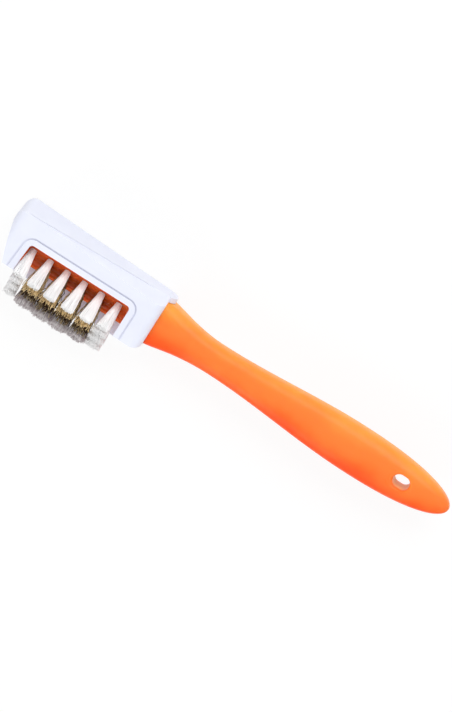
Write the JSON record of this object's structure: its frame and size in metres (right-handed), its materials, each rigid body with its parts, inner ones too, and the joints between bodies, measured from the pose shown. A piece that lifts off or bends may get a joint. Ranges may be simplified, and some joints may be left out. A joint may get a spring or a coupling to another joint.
{
  "type": "suede brush",
  "caption": "Hand brush for suede: a plastic handle whose canted block holds nylon and brass tufts inside a windowed rubber jacket, with a hang slot at the tip.",
  "frame": {"origin": "on the outside of the jacket's flat far wall, at the middle of the head's length, under the handle's axis", "axes": "+X from the head to the tip of the handle, +Y to the flat back of the head, away from the bristles, +Z to the windowed near wall, away from the face that the brush lies on"},
  "size_m": [0.16, 0.0293, 0.0264],
  "materials": {
    "handle_plastic": "satin orange moulded plastic",
    "white_rubber": "smooth matt white rubber",
    "nylon_bristle": "white translucent nylon bristle",
    "brass_wire": "fine crimped brass wire",
    "anchor_wire": "flat staple wire"
  },
  "bodies": {
    "root": {"handle": "handle_plastic", "rubber_jacket": "white_rubber", "tuft_anchors": "anchor_wire", "nylon_tuft_row_1_column_1": "nylon_bristle", "nylon_tuft_row_1_column_2": "nylon_bristle", "nylon_tuft_row_1_column_3": "nylon_bristle", "nylon_tuft_row_1_column_4": "nylon_bristle", "nylon_tuft_row_1_column_5": "nylon_bristle", "nylon_tuft_row_1_column_6": "nylon_bristle", "nylon_tuft_row_2_column_1": "nylon_bristle", "brass_tuft_row_2_column_2": "brass_wire", "brass_tuft_row_2_column_3": "brass_wire", "brass_tuft_row_2_column_4": "brass_wire", "brass_tuft_row_2_column_5": "brass_wire", "nylon_tuft_row_2_column_6": "nylon_bristle", "nylon_tuft_row_3_column_1": "nylon_bristle", "brass_tuft_row_3_column_2": "brass_wire", "brass_tuft_row_3_column_3": "brass_wire", "brass_tuft_row_3_column_4": "brass_wire", "brass_tuft_row_3_column_5": "brass_wire", "nylon_tuft_row_3_column_6": "nylon_bristle", "nylon_tuft_row_4_column_1": "nylon_bristle", "nylon_tuft_row_4_column_2": "nylon_bristle", "nylon_tuft_row_4_column_3": "nylon_bristle", "nylon_tuft_row_4_column_4": "nylon_bristle", "nylon_tuft_row_4_column_5": "nylon_bristle", "nylon_tuft_row_4_column_6": "nylon_bristle"}
  },
  "joints": []
}
